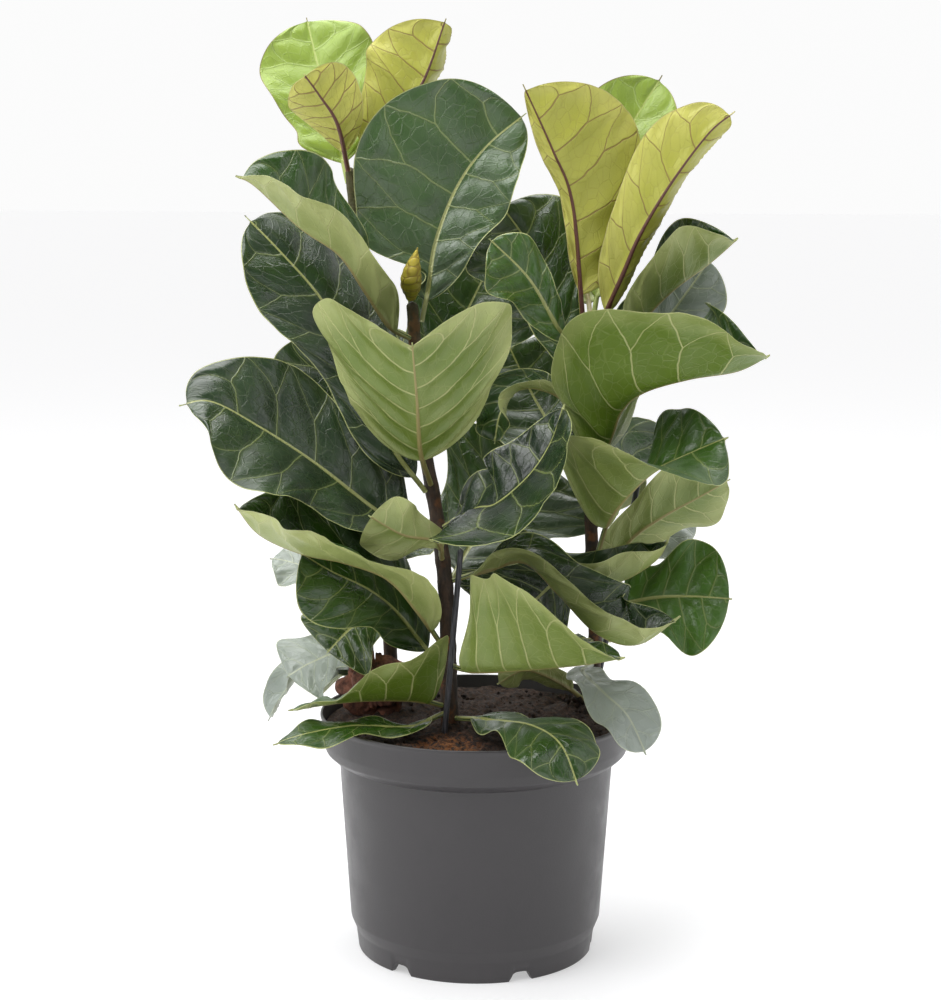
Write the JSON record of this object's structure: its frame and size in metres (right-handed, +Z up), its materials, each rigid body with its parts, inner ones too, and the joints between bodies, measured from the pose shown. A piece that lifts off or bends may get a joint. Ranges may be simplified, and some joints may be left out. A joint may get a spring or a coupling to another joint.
{
  "type": "potted fiddle leaf fig",
  "caption": "Bushy fiddle leaf fig: upright stems with thin canes and big wavy lyre-shaped leaves, in a round tapered nursery pot of peat.",
  "frame": {"origin": "middle of the pot's foot, on the surface that it stands on, under the middle of the plant's box", "axes": "+Z up along the pot's axis; -Y is the front that the picture shows; +X is to the right in the picture"},
  "size_m": [0.4295, 0.2829, 0.7153],
  "materials": {
    "pot_plastic": "satin",
    "peat": "matte",
    "bark": "matte",
    "cane": "satin",
    "dry_sheath": "matte",
    "leaf_mature": "satin",
    "leaf_young": "satin",
    "leaf_tender": "satin"
  },
  "bodies": {
    "root": {"pot": "pot_plastic", "soil": "peat", "stem_a": "bark", "stem_b": "bark", "stem_c": "bark", "cane_a": "cane", "cane_b": "cane", "cane_c": "cane", "bud": "leaf_tender", "dried_sheath": "dry_sheath", "leaf_a_01": "leaf_mature", "leaf_a_02": "leaf_mature", "leaf_a_03": "leaf_mature", "leaf_a_04": "leaf_mature", "leaf_a_05": "leaf_mature", "leaf_a_06": "leaf_mature", "leaf_a_07": "leaf_mature", "leaf_a_08": "leaf_mature", "leaf_a_09": "leaf_mature", "leaf_a_10": "leaf_mature", "leaf_a_11": "leaf_mature", "leaf_a_12": "leaf_mature", "leaf_a_13": "leaf_mature", "leaf_a_14": "leaf_mature", "leaf_a_15": "leaf_mature", "leaf_a_16": "leaf_mature", "leaf_a_17": "leaf_mature", "leaf_b_01": "leaf_tender", "leaf_b_02": "leaf_young", "leaf_b_03": "leaf_tender", "leaf_b_04": "leaf_mature", "leaf_b_05": "leaf_mature", "leaf_b_06": "leaf_mature", "leaf_b_07": "leaf_mature", "leaf_b_08": "leaf_mature", "leaf_b_09": "leaf_mature", "leaf_b_10": "leaf_mature", "leaf_b_11": "leaf_mature", "leaf_b_12": "leaf_mature", "leaf_b_13": "leaf_mature", "leaf_b_14": "leaf_mature", "leaf_b_15": "leaf_mature", "leaf_b_16": "leaf_mature", "leaf_b_17": "leaf_mature", "leaf_b_18": "leaf_mature", "leaf_b_19": "leaf_mature", "leaf_b_20": "leaf_mature", "leaf_b_21": "leaf_mature", "leaf_c_01": "leaf_tender", "leaf_c_02": "leaf_tender", "leaf_c_03": "leaf_young", "leaf_c_04": "leaf_mature", "leaf_c_05": "leaf_mature", "leaf_c_06": "leaf_mature", "leaf_c_07": "leaf_mature", "leaf_c_08": "leaf_mature", "leaf_c_09": "leaf_mature", "leaf_c_10": "leaf_mature"}
  },
  "joints": []
}
